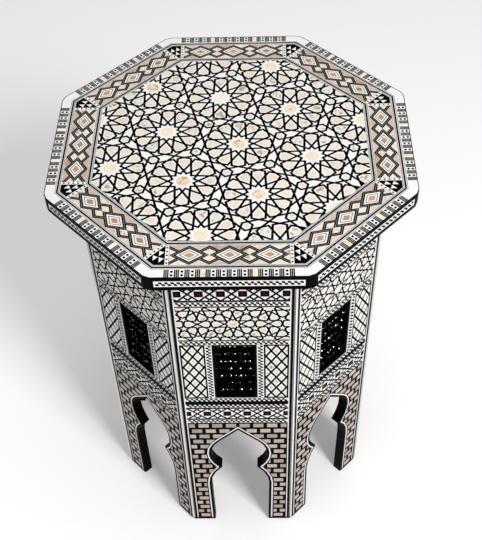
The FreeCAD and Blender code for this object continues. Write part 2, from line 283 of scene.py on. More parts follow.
class Wire:
    """A socket among a finish's nodes; arithmetic on it adds Math nodes."""

    def __init__(self, tree, socket=None):
        self.tree = tree
        self.socket = socket

    def node(self, kind, settings=None, sockets=None, output=0):
        """Add a node: its settings first, then the values or links of its sockets."""
        made = self.tree.nodes.new(kind)
        for name, value in (settings or {}).items():
            if name == "stops":
                for stop, (place, shade) in zip(made.color_ramp.elements, value):
                    stop.position = place
                    stop.color = shade
                for place, shade in value[len(made.color_ramp.elements):]:
                    made.color_ramp.elements.new(place).color = shade
            else:
                setattr(made, name, value)
        for name, value in (sockets or {}).items():
            if isinstance(value, Wire):
                self.tree.links.new(value.socket, made.inputs[name])
            else:
                made.inputs[name].default_value = value
        return Wire(self.tree, made.outputs[output])

    def math(self, operation, first, second):
        return self.node("ShaderNodeMath", {"operation": operation}, {0: first, 1: second})

    def __add__(self, other):
        return self.math("ADD", self, other)

    def __radd__(self, other):
        return self.math("ADD", other, self)

    def __sub__(self, other):
        return self.math("SUBTRACT", self, other)

    def __rsub__(self, other):
        return self.math("SUBTRACT", other, self)

    def __mul__(self, other):
        return self.math("MULTIPLY", self, other)

    def __rmul__(self, other):
        return self.math("MULTIPLY", other, self)

    def between(self, low, high):
        """Share of the way from low to high, held to 0 and 1."""
        return self.node("ShaderNodeMapRange", {"clamp": True},
                         {"Value": self, "From Min": low, "From Max": high})

    def mix(self, first, second):
        """Mixture of two colours, with this socket as the share of the second."""
        return self.node("ShaderNodeMix", {"data_type": "RGBA"}, {0: self, 6: first, 7: second}, 2)

    def noise(self, scale, detail, distortion=0.0):
        place = self.node("ShaderNodeTexCoord", output="Object")
        return self.node("ShaderNodeTexNoise", None, {"Vector": place, "Scale": scale, "Detail": detail,
                                                      "Distortion": distortion})

    def ramp(self, *stops):
        """Colour that this socket picks from stops, each a place, a colour and a strength."""
        stops = [(place, opaque(shade, strength)) for place, shade, strength in stops]
        return self.node("ShaderNodeValToRGB", {"stops": stops}, {"Fac": self})

    def tint(self):
        """The random number that every tile carries."""
        return self.node("ShaderNodeAttribute", {"attribute_name": "tint"}, output="Fac")

    def bump(self, height, distance):
        return self.node("ShaderNodeBump", None, {"Height": height, "Distance": distance})


WHITE = (1.0, 1.0, 1.0)


def opaque(shade, strength=1.0):
    return tuple(value * strength for value in shade) + (1.0,)


def finish(key):
    """Material of a finish, made on its first use from what paint says of its shader."""
    name, _, paint = FINISHES[key]
    material = bpy.data.materials.get(name)
    if material:
        return material
    material = bpy.data.materials.new(name)
    material.use_nodes = True
    tree = material.node_tree
    shader = tree.nodes["Principled BSDF"]
    for socket, value in paint(Wire(tree), bpy.context.scene.table_colours).items():
        if isinstance(value, Wire):
            tree.links.new(value.socket, shader.inputs[socket])
        else:
            shader.inputs[socket].default_value = value
    return material


def paint_bone(start, colours):
    """Polished bone: warm white with faint clouds and fine grain."""
    cloud = start.noise(45, 3)
    grain = start.noise(900, 2)
    shade = cloud.between(0.35, 0.75).mix(opaque(colours.bone), opaque(colours.bone, 0.93))
    return {"Base Color": shade, "Roughness": 0.26 + 0.12 * grain, "Coat Weight": 0.25, "Coat Roughness": 0.15}


def paint_pearl(start, colours):
    """Mother-of-pearl: every tile its own shade, clouded and flecked with brown."""
    cloud = start.noise(140, 3, 1.5)
    hue = 0.7 * start.tint() + 1.5 * (cloud - 0.40)
    shade = hue.ramp((0.0, colours.pearl, 0.84), (0.16, colours.pearl, 1.0), (0.30, colours.pearl_pink, 1.0),
                     (0.44, colours.pearl, 1.10), (0.58, colours.pearl, 1.0), (0.72, colours.pearl_green, 1.0),
                     (0.86, colours.pearl, 1.0), (1.0, colours.pearl, 1.12))
    fleck = start.noise(170, 6, 1.2).between(0.53, 0.62) * start.tint().between(0.62, 0.66) * 0.85
    shade = fleck.mix(shade, opaque(colours.fleck))
    return {"Base Color": shade, "Roughness": 0.20 + 0.20 * cloud, "Coat Weight": 0.35, "Coat Roughness": 0.1}


def paint_shell(name):
    """Finish of one tinted shell, clouded along its growth."""
    def paint(start, colours):
        cloud = start.noise(150, 4, 2.0)
        tone = cloud * 0.8 + start.tint() * 0.6
        shade = tone.between(0.3, 1.0).mix(opaque(getattr(colours, name), 0.72),
                                           opaque(getattr(colours, name), 1.3))
        return {"Base Color": shade, "Roughness": 0.24 + 0.2 * cloud, "Coat Weight": 0.3, "Coat Roughness": 0.1}
    return paint


def paint_rose(start, colours):
    """Ground of the diamond bands: from brown rose to nearly white, tile by tile."""
    cloud = start.noise(150, 4, 2.0)
    tone = 0.8 * start.tint() + 0.9 * (cloud - 0.4)
    shade = tone.ramp((0.0, colours.amber, 1.0), (0.3, colours.rose, 0.85), (0.6, colours.rose, 1.1),
                      (0.85, colours.pearl, 1.0), (1.0, colours.bone, 0.95))
    return {"Base Color": shade, "Roughness": 0.24 + 0.2 * cloud, "Coat Weight": 0.3, "Coat Roughness": 0.1}


def paint_disc(start, colours):
    """Star discs: from nearly white to amber, tile by tile."""
    tone = 0.7 * start.tint() + 1.5 * (start.noise(230, 4, 1.0) - 0.42)
    shade = tone.ramp((0.0, colours.bone, 1.0), (0.35, colours.cream, 1.0), (0.7, colours.cream, 0.95),
                      (1.0, colours.amber, 1.35))
    return {"Base Color": shade, "Roughness": 0.25, "Coat Weight": 0.3, "Coat Roughness": 0.1}


def paint_lacquer(start, colours):
    """Black lacquer: satin, with faint dust and brush marks."""
    cloud = start.noise(70, 4)
    shade = cloud.between(0.4, 0.8).mix(opaque(colours.lacquer), opaque(colours.lacquer, 2.0))
    return {"Base Color": shade, "Roughness": 0.30 + 0.16 * cloud, "Specular IOR Level": 0.01}


def paint_red(start, colours):
    """Dark red lacquer, with a little cloud."""
    cloud = start.noise(300, 3)
    shade = cloud.between(0.3, 0.7).mix(opaque(colours.red, 0.5), opaque(colours.red, 1.4))
    return {"Base Color": shade, "Roughness": 0.35, "Specular IOR Level": 0.03}


def paint_lattice(start, colours):
    """Turned wood with spots of gloss lacquer on the upper sides of the beads."""
    cloud = start.noise(160, 4)
    shade = cloud.between(0.45, 0.75).mix(opaque(colours.lattice), opaque(colours.lattice, 2.0))
    normal = start.node("ShaderNodeNewGeometry", output="Normal")
    upward = start.node("ShaderNodeSeparateXYZ", None, {"Vector": normal}, "Z")
    gloss = upward.between(0.46, 0.58) * start.noise(400, 1).between(0.53, 0.57)
    return {"Base Color": shade, "Roughness": 0.3 + 0.1 * cloud, "Specular IOR Level": 0.0,
            "Coat Weight": gloss, "Coat Roughness": 0.02, "Coat IOR": 2.8}


def paint_metal(name):
    """Finish of one grey stringing, finely streaked."""
    def paint(start, colours):
        cloud = start.noise(420, 3, 0.4)
        shade = cloud.between(0.3, 0.7).mix(opaque(getattr(colours, name), 0.8),
                                            opaque(getattr(colours, name), 1.2))
        return {"Base Color": shade, "Roughness": 0.35 + 0.1 * cloud}
    return paint


def paint_wood(start, colours):
    """Sawn wood with grain along its length."""
    place = start.node("ShaderNodeTexCoord", output="Object")
    stretched = start.node("ShaderNodeMapping", None, {"Vector": place, "Scale": (60.0, 60.0, 9.0)})
    grain = start.node("ShaderNodeTexNoise", None, {"Vector": stretched, "Scale": 4.0, "Detail": 6.0,
                                                    "Distortion": 0.8})
    shade = grain.between(0.3, 0.7).mix(opaque(colours.wood, 0.7), opaque(colours.wood, 1.1))
    return {"Base Color": shade, "Roughness": 0.6 + 0.2 * grain, "Normal": start.bump(grain, 0.0003)}


def paint_floor(start, colours):
    """Pale floor that looks lighter to the camera than to the table."""
    rays = [start.node("ShaderNodeLightPath", output="Is %s Ray" % kind)
            for kind in ("Camera", "Glossy", "Transmission")]
    return {"Base Color": opaque(colours.floor), "Roughness": 0.8,
            "Emission Color": rays[0] + rays[1] + rays[2],
            "Emission Strength": bpy.context.scene.table_stage.glow}


FINISHES = {
    "bone": ("Polished bone", "bone", paint_bone),
    "pearl": ("Mother-of-pearl", "pearl", paint_pearl),
    "amber": ("Amber shell", "pearl", paint_shell("amber")),
    "rose": ("Rose shell", "pearl", paint_rose),
    "brick": ("Brick shell", "brick_inlay", paint_shell("brick")),
    "red": ("Red lacquer", "red_frieze", paint_red),
    "disc": ("Star disc shell", "pearl", paint_disc),
    "lacquer": ("Black lacquer", "black_inlay", paint_lacquer),
    "lattice": ("Gloss lattice", "turned_wood", paint_lattice),
    "silver": ("Silver stringing", "grey_stringing", paint_metal("silver")),
    "pewter": ("Pewter stringing", "grey_stringing", paint_metal("pewter")),
    "wood": ("Sawn wood", "plain_wood", paint_wood),
    "floor": ("Pale floor", None, paint_floor),
}


# Plane patterns, as outlines of complex numbers

def polar(radius, degrees):
    return cmath.rect(radius, math.radians(degrees))


def crossing(a, b, c, d):
    """Point where the line through a and b meets the line through c and d."""
    run = b - a
    other = d - c
    along = ((c - a).conjugate() * other).imag / (run.conjugate() * other).imag
    return a + run * along


def spun(outline, degrees, centre=0):
    return [centre + point * polar(1, degrees) for point in outline]


def anticlockwise(outline):
    area = sum((a.conjugate() * b).imag for a, b in zip(outline, outline[1:] + outline[:1]))
    return outline if area > 0 else outline[::-1]


def rectangle(left, right, low, high):
    return [complex(left, low), complex(right, low), complex(right, high), complex(left, high)]


def square(centre, side):
    half = side / 2
    return rectangle(centre.real - half, centre.real + half, centre.imag - half, centre.imag + half)


def diamond(centre, half_width, half_height, grown=0.0):
    """Upright diamond, grown by a margin on all four sides."""
    scale = 1 + grown * math.hypot(half_width, half_height) / (half_width * half_height)
    return [centre + half_width * scale, centre + 1j * half_height * scale, centre - half_width * scale,
            centre - 1j * half_height * scale]


DISC_CORNERS = 20
DOT_CORNERS = 12


def disc(centre, radius, corners=DISC_CORNERS):
    return [centre + polar(radius, 360 * step / corners) for step in range(corners)]


def octagon(reach):
    return [polar(reach / math.cos(STEP / 2), SIDE_ANGLE * (step + 0.5)) for step in range(SIDES)]


FIELD_PETALS = 12
FIELD_TURN = 45
FIELD_CELLS = 4
BAND_PETALS = 10
BAND_CELLS = 3


def star_field_tiles(sizes):
    """Twelve-petalled rosettes on a triangular grid, with the leaves and hexagons between them."""
    whole = 360 // FIELD_PETALS
    half = whole // 2
    spacing = sizes.field_spacing
    radius = spacing / 2
    side = 2 * radius * math.tan(math.radians(half))
    meet = polar(radius, half)
    waist = polar(radius * sizes.field_waist, half)
    notch = polar(radius * sizes.field_notch, half)
    heel = abs(crossing(waist, notch * polar(1, whole), 0, polar(1, whole)))
    point = (abs(meet) / math.cos(math.radians(half))
             - side / 2 * math.sin(math.radians(whole)) / math.sin(math.radians(90 - half)))
    shoulder = crossing(meet.conjugate(), point, waist, notch * polar(1, whole))
    petal = [point, shoulder, waist, heel, waist.conjugate(), shoulder.conjugate()]
    kite = [waist, polar(heel, whole), notch, complex(heel)]
    cross = [meet, polar(point, whole), shoulder.conjugate() * polar(1, whole), waist, shoulder, complex(point)]
    star = [corner for step in range(FIELD_PETALS)
            for corner in (polar(heel, whole * step), polar(abs(notch), whole * step + half))]
    hexagon = [polar(side / math.sqrt(12), 60 * step) for step in range(6)]
    plain, bordered, discs = [], [], []
    cells = range(-FIELD_CELLS, FIELD_CELLS + 1)
    for column in cells:
        for row in cells:
            centre = (complex(sizes.field_shift_x, sizes.field_shift_y)
                      + column * polar(spacing, FIELD_TURN) + row * polar(spacing, FIELD_TURN + 60))
            if abs(centre) > FIELD_REACH + spacing:
                continue
            plain.append(spun(star, 0, centre))
            discs.append(disc(centre, sizes.disc))
            for step in range(FIELD_PETALS):
                bordered.append(spun(petal, whole * step, centre))
                plain += [spun(kite, whole * step, centre), spun(cross, whole * step, centre)]
            for step in range(3):
                for turn in (-1, 1):
                    plain.append(leaf(centre, FIELD_TURN + 60 * step, turn, spacing, point))
            for step in range(2):
                angle = FIELD_TURN + whole + 60 * step
                bordered.append(spun(hexagon, angle, centre + polar(spacing / math.sqrt(3), angle)))
    return plain, bordered, discs


def leaf(centre, angle, turn, spacing, point):
    """Six-sided leaf between two neighbouring rosettes and a hexagon."""
    radius = spacing / 2
    other = centre + polar(spacing, angle)
    corner = centre + polar(radius / math.cos(math.radians(15)), angle + 15 * turn)
    middle = centre + polar(spacing / math.sqrt(3), angle + 30 * turn)
    return anticlockwise([(corner + middle) / 2, centre + polar(radius, angle + 30 * turn),
                          centre + polar(point, angle + 15 * turn), centre + polar(radius, angle),
                          other + polar(point, angle + 180 - 15 * turn),
                          other + polar(radius, angle + 180 - 30 * turn)])


def star_band_tiles(half_height, disc_radius):
    """Ten-petalled rosettes on a rhombic grid, with five-pointed stars and bow-ties between them."""
    whole = 360 // BAND_PETALS
    half = whole // 2
    blunt = whole + half
    spacing = half_height / math.sin(math.radians(whole))
    radius = spacing / 2
    side = 2 * radius * math.tan(math.radians(half))
    corner = polar(radius / math.cos(math.radians(half)), half)
    outer = side / 2
    inner = outer * math.sin(math.radians(half)) / math.sin(math.radians(blunt))
    waist = corner - polar(outer, half)
    shoulder = corner + polar(inner, blunt - 180)
    heel = waist.imag / math.sin(math.radians(whole))
    notch = polar(waist.imag / math.sin(math.radians(blunt)), half)
    petal = [complex(radius), shoulder, waist, complex(heel), waist.conjugate(), shoulder.conjugate()]
    kite = [waist, polar(heel, whole), notch, complex(heel)]
    star = [tip for step in range(BAND_PETALS)
            for tip in (polar(heel, whole * step), polar(abs(notch), whole * step + half))]
    small = [tip for step in range(BAND_PETALS // 2)
             for tip in (polar(outer, 180 + 2 * whole * step), polar(inner, 180 + whole + 2 * whole * step))]
    knot = spacing * math.cos(math.radians(whole))
    tie_shoulder = corner + polar(inner, -blunt)
    tie_meet = corner + polar(outer, -half)
    tie = [complex(knot), tie_meet, tie_shoulder, complex(radius), tie_shoulder.conjugate(),
           tie_meet.conjugate()]
    peak = complex(knot, half_height) - 1j * abs(corner)
    dart_shoulder = peak + polar(inner, blunt)
    dart = [complex(knot), tie_meet + 2 * (knot - tie_meet.real), dart_shoulder, peak + 1j * outer,
            complex(2 * knot - dart_shoulder.real, dart_shoulder.imag), tie_meet]
    plain, bordered, discs = [], [], []
    cells = range(-BAND_CELLS, BAND_CELLS + 1)
    for column in cells:
        for row in cells:
            centre = column * polar(spacing, whole) + row * polar(spacing, -whole)
            if abs(centre.real) > INLAY_HALF + spacing or abs(centre.imag) > half_height + radius:
                continue
            plain.append(spun(star, 0, centre))
            discs.append(disc(centre, disc_radius))
            for step in range(BAND_PETALS):
                bordered.append(spun(petal, whole * step, centre))
                plain.append(spun(kite, whole * step, centre))
            for angle in (half, blunt, 180 - blunt, 180 - half):
                plain.append(spun(small, angle, centre + polar(abs(corner), angle)))
            middle = centre + knot
            for turn in (0, 180):
                bordered.append(anticlockwise(spun([tip - knot for tip in tie], turn, middle)))
                plain.append(anticlockwise(spun([tip - knot for tip in dart], turn, middle)))
    return plain, bordered, discs


def crossed_diamonds(pitch, half_height, small, places):
    """Row of large diamonds, small ones over and under each crossing, and the pieces at the edges."""
    lean = pitch / 2 / half_height
    head = (half_height - 2 * small) * lean
    large, little, edge = [], [], []
    for place in places:
        large.append(diamond(place, pitch / 2, half_height))
        middle = place + pitch / 2
        for up in (-1j, 1j):
            little.append(diamond(middle + up * small, small * lean, small))
            edge.append(anticlockwise([middle + 2 * up * small, middle + head + up * half_height,
                                       middle - head + up * half_height]))
            for way in (-1, 1):
                edge.append(anticlockwise([middle + way * small * lean + up * small, middle + 2 * up * small,
                                           middle + way * head + up * half_height,
                                           middle + way * pitch / 2 + up * half_height]))
    return large, little, edge


DASH_STAGGER = 0.24


def dash_rows(sizes, half_length, dash_length, pitch):
    """Two staggered rows of leaning dashes along a strip, about its middle."""
    dashes = []
    steps = int(half_length / pitch) + 1
    for row, shift in ((0.5, -DASH_STAGGER), (-0.5, DASH_STAGGER)):
        for step in range(-steps, steps + 1):
            place = (step + shift) * pitch
            if abs(place) > half_length - dash_length / 2 - sizes.dash_slant:
                continue
            low = row * sizes.dash_rows - sizes.dash_height / 2
            dash = rectangle(place - dash_length / 2, place + dash_length / 2, low, low + sizes.dash_height)
            lean = (sizes.dash_slant, sizes.dash_slant, -sizes.dash_slant, -sizes.dash_slant)
            dashes.append([corner + shift_x for corner, shift_x in zip(dash, lean)])
    return dashes


# Working with pieces

LEVEL = 0.00005
PLATE = 0.0015
EDGE_PLATE = 0.0010
CUTTER_LEVELS = 40
FIELD_SLIVER = 2e-6
BAND_SLIVER = 1e-6
SMALL_SLIVER = 5e-7
BRICK_SLIVER = 4e-6
MERGE_DISTANCE = 0.00001
SMOOTH_ANGLE = math.radians(40)
BEAD_STEPS = 8
PEG_BEAD = 0.8


def on_top(level):
    """Where a point of a pattern lies in the table top, so many levels under the surface."""
    return lambda point: (point.real, point.imag, TOP - level * LEVEL)


def on_front(level, reach=None):
    """Where a point of a pattern lies on the front side, so many levels under the surface."""
    return lambda point: (point.real, level * LEVEL - (reach or FACE), point.imag)


def choose(*pieces):
    """Select these pieces alone, with the first one active."""
    bpy.ops.object.select_all(action="DESELECT")
    for piece in pieces:
        piece.select_set(True)
    bpy.context.view_layer.objects.active = pieces[0]


def start_edit(piece):
    choose(piece)
    bpy.ops.object.mode_set(mode="EDIT")
    bpy.ops.mesh.select_mode(type="FACE")
    bpy.ops.mesh.select_all(action="SELECT")


def end_edit():
    bpy.ops.object.mode_set(mode="OBJECT")


def sheet(name, outlines, place):
    """Flat piece with one face for each outline."""
    points = [place(point) for outline in outlines for point in outline]
    faces = []
    for outline in outlines:
        start = faces[-1][-1] + 1 if faces else 0
        faces.append(list(range(start, start + len(outline))))
    mesh = bpy.data.meshes.new(name)
    mesh.from_pydata(points, [], faces)
    piece = bpy.data.objects.new(name, mesh)
    bpy.context.scene.collection.objects.link(piece)
    return piece


def saw(piece, width):
    """Take a strip off the edges of every tile, where the black line runs."""
    start_edit(piece)
    bpy.ops.mesh.inset(thickness=width, use_individual=True)
    bpy.ops.mesh.select_all(action="INVERT")
    bpy.ops.mesh.delete(type="FACE")
    end_edit()


def hollow(piece, width):
    """Leave only a strip along the edges of every tile."""
    start_edit(piece)
    bpy.ops.mesh.inset(thickness=width, use_individual=True)
    bpy.ops.mesh.delete(type="FACE")
    end_edit()


def split_middles(piece, name, border):
    """Part the middle of every tile from its border, and return the middles as a new piece."""
    start_edit(piece)
    bpy.ops.mesh.inset(thickness=border, use_individual=True)
    bpy.ops.mesh.separate(type="SELECTED")
    end_edit()
    middles = next(other for other in bpy.context.selected_objects if other is not piece)
    middles.name = name
    middles.data.name = name
    return middles


def trim(piece, edges):
    """Cut a flat piece along straight edges, each a point on it and its outward direction."""
    start_edit(piece)
    for place, outward in edges:
        bpy.ops.mesh.select_all(action="SELECT")
        bpy.ops.mesh.bisect(plane_co=place, plane_no=outward, clear_outer=True)
    end_edit()


def trim_octagon(piece, reach):
    turns = [(math.cos(STEP * step), math.sin(STEP * step), 0) for step in range(SIDES)]
    trim(piece, [(tuple(reach * part for part in turn), turn) for turn in turns])


def trim_front(piece, left, right, low, high):
    trim(piece, [((left, 0, 0), (-1, 0, 0)), ((right, 0, 0), (1, 0, 0)),
                 ((0, 0, low), (0, 0, -1)), ((0, 0, high), (0, 0, 1))])


def drop_slivers(piece, area):
    for face in piece.data.polygons:
        face.select = face.area < area
    choose(piece)
    bpy.ops.object.mode_set(mode="EDIT")
    bpy.ops.mesh.select_mode(type="FACE")
    bpy.ops.mesh.delete(type="FACE")
    end_edit()


def join(*pieces):
    choose(*pieces)
    bpy.ops.object.join()
    return pieces[0]


def copy_round(piece, turn):
    """A piece of the front side and its copies on the other sides, each turned on from the last."""
    copies = [piece]
    for step in range(1, SIDES):
        choose(piece)
        bpy.ops.object.duplicate()
        bpy.ops.transform.rotate(value=turn * step, orient_axis="Z", center_override=(0, 0, 0))
        bpy.ops.object.transform_apply(location=True, rotation=True, scale=True)
        copies.append(bpy.context.active_object)
    return copies


def repeat_round(piece):
    """Copy a piece of the front side to every other side, as one piece."""
    return join(*copy_round(piece, STEP))


def tint(piece):
    """Give every tile a random number of its own."""
    draw = random.Random(piece.name)
    numbers = piece.data.attributes.new("tint", "FLOAT", "FACE")
    for value in numbers.data:
        value.value = draw.random()


def thicken(piece, depth=PLATE):
    """Give a flat piece its thickness, behind the face that shows."""
    choose(piece)
    solid = piece.modifiers.new("Thickness", "SOLIDIFY")
    solid.thickness = depth
    solid.offset = -1
    bpy.ops.object.modifier_apply(modifier=solid.name)


def dress(piece, finish_name, *nodes):
    """Give a piece its finish and its body, and hide the nodes that it stands for."""
    piece.data.materials.clear()
    piece.data.materials.append(finish(finish_name))
    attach(piece, "root")
    if nodes:
        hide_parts(*nodes)


def lay(piece, finish_name, *nodes, depth=PLATE):
    """Tint, thicken and dress a flat piece."""
    tint(piece)
    thicken(piece, depth)
    dress(piece, finish_name, *nodes)


def lay_round(piece, finish_name, *nodes, depth=PLATE):
    """Repeat a flat piece of the front side on all sides, and lay it."""
    lay(repeat_round(piece), finish_name, *nodes, depth=depth)


def lay_mosaic(name, tiles, place, saw_line, border, cut, lay_one, node):
    """Saw the tiles of a star mosaic apart, part the shells from their borders and lay them."""
    plain, bordered, discs = tiles
    stars = sheet(name + "_stars", plain, place(1))
    borders = sheet(name + "_borders", bordered, place(1))
    rounds = sheet(name + "_discs", discs, place(0))
    for piece in (stars, borders):
        saw(piece, saw_line / 2)
    petals = split_middles(borders, name + "_petals", border)
    for piece in (stars, borders, petals, rounds):
        cut(piece)
    for piece, finish_name in ((join(stars, borders), "bone"), (petals, "pearl"), (rounds, "disc")):
        lay_one(piece, finish_name, node, depth=3 * LEVEL)


# The pieces

class TABLE_OT_boards(bpy.types.Operator):
    """Finish the boards, strips and hidden wood that the frame brings"""

    bl_idname = "table.boards"
    bl_label = "Boards"

    finishes = {
        "lacquer": ["top_board", "black_bands", "arch_edging", "window_frames", "window_backs", "brick_fields"]
        + ["side_panel_%d" % (side + 1) for side in range(SIDES)],
        "bone": ["top_rim_corners", "arch_stringing", "check_strips", "window_strips"],
        "wood": ["top_rails", "corner_blocks"],
    }

    def execute(self, context):
        for finish_name, nodes in self.finishes.items():
            for node in nodes:
                materials = NODES[node].data.materials
                materials.clear()
                materials.append(finish(finish_name))
        return {"FINISHED"}


class TABLE_OT_star_field(bpy.types.Operator):
    """Lay the star mosaic of the table top in its black ground"""

    bl_idname = "table.star_field"
    bl_label = "Star field"

    def execute(self, context):
        sizes = context.scene.table_mosaic
        ground = sheet("top_ground", [octagon(RIM_IN)], on_top(3))
        lay(ground, "lacquer", "top_star_field", "top_diamond_bands", "top_corner_kites")
        lay_mosaic("top_field", star_field_tiles(sizes), on_top, sizes.line, sizes.border, self.cut, lay,
                   "top_star_field")
        return {"FINISHED"}

    def cut(self, piece):
        trim_octagon(piece, FIELD_REACH)
        drop_slivers(piece, FIELD_SLIVER)


def octagon_ring(name, outer, inner, level):
    """Mitred ring of the top, inset from one octagon to the next."""
    ring = sheet(name, [octagon(outer)], on_top(level))
    hollow(ring, outer - inner)
    return ring


class TABLE_OT_stringing(bpy.types.Operator):
    """Lay the light and black stringing on both sides of the diamond bands"""

    bl_idname = "table.stringing"
    bl_label = "Stringing"

    def execute(self, context):
        line = context.scene.table_border.string_line
        hair = context.scene.table_border.string_hair
        nodes = "top_outer_stringing", "top_inner_stringing"
        light, grey, black = [], [], []
        for node, outer, inner in zip(nodes, (RIM_IN, BAND_IN), (BAND_OUT, FIELD_REACH)):
            middle = (outer + inner) / 2
            black.append(octagon_ring(node + "_line", middle + line / 2, middle - line / 2, 0))
            parts = ("_outside", outer, middle + line / 2), ("_inside", middle - line / 2, inner)
            for place, start, end in parts:
                half = (start + end) / 2
                light.append(octagon_ring(node + place, start, end, 1))
                grey.append(octagon_ring(node + place + "_hair", half + hair / 2, half - hair / 2, 0))
        lay(light[0], "bone", nodes[0], depth=2 * LEVEL)
        lay(join(*light[1:]), "silver", *nodes, depth=2 * LEVEL)
        lay(join(*grey), "pewter", *nodes, depth=LEVEL)
        lay(join(*black), "lacquer", *nodes, depth=3 * LEVEL)
        return {"FINISHED"}


class TABLE_OT_rim(bpy.types.Operator):
    """Lay the striped, dotted and amber blocks of the rim"""

    bl_idname = "table.rim"
    bl_label = "Rim"

    kinds = "SDSDSDSASDSDSDSDSASDSDSDS"

    def execute(self, context):
        sizes = context.scene.table_border
        middle = -(RIM_OUT + RIM_IN) / 2
        striped = self.kinds.count("S")
        other = (2 * RIM_HALF - striped * sizes.rim_stripes) / (len(self.kinds) - striped)
        pitch = sizes.rim_stripes / sizes.rim_bars
        stripes, bars, dots, amber = [], [], [], []
        left = -RIM_HALF
        for kind in self.kinds:
            right = left + (sizes.rim_stripes if kind == "S" else other)
            block = rectangle(left, right, -RIM_OUT, -RIM_IN)
            if kind == "S":
                stripes.append(block)
                for step in range(sizes.rim_bars):
                    start = left + pitch * (step + 0.5) - sizes.rim_bar / 2
                    bars.append(rectangle(start, start + sizes.rim_bar, -RIM_OUT, -RIM_IN))
            elif kind == "A":
                amber.append(block)
            else:
                for side in (-0.5, 0.5):
                    place = complex((left + right) / 2, middle + side * sizes.rim_dot_spacing)
                    dots.append(disc(place, sizes.rim_dot, DOT_CORNERS))
            left = right
        base = sheet("rim_base", [rectangle(-RIM_HALF, RIM_HALF, -RIM_OUT, -RIM_IN)], on_top(3))
        lay_round(base, "bone", "top_rim_strips")
        lay_round(sheet("rim_stripes", stripes, on_top(1.5)), "silver", "top_rim_strips", depth=LEVEL)
        lay_round(sheet("rim_bars", bars + dots, on_top(0)), "lacquer", "top_rim_strips", depth=3 * LEVEL)
        lay_round(sheet("rim_amber", amber, on_top(1)), "disc", "top_rim_strips", depth=2 * LEVEL)
        return {"FINISHED"}


